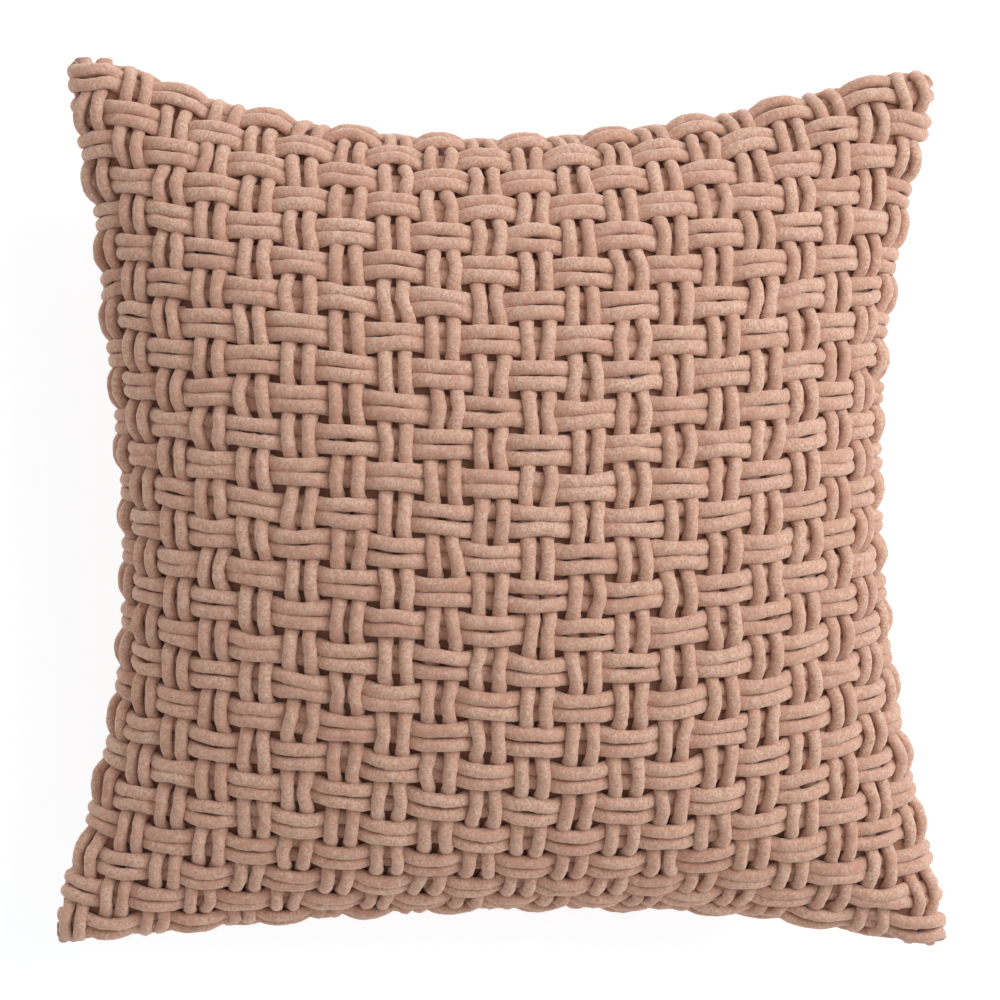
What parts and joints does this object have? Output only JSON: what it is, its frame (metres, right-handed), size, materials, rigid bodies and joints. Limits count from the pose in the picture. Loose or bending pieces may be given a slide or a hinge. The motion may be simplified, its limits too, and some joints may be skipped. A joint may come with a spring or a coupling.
{
  "type": "square cushion",
  "caption": "Square filled throw cushion with drawn-in sides and a chunky chenille basket weave, resting on its back.",
  "frame": {"origin": "bottom centre of the cushion's box, on the surface that it rests on", "axes": "+Z out of the face that shows, +Y towards the upper edge in the picture, +X to the right in the picture"},
  "size_m": [0.5046, 0.5026, 0.1846],
  "materials": {
    "chenille": "soft matt chenille yarn, dusty rose beige"
  },
  "bodies": {
    "root": {"cushion": "chenille"}
  },
  "joints": []
}
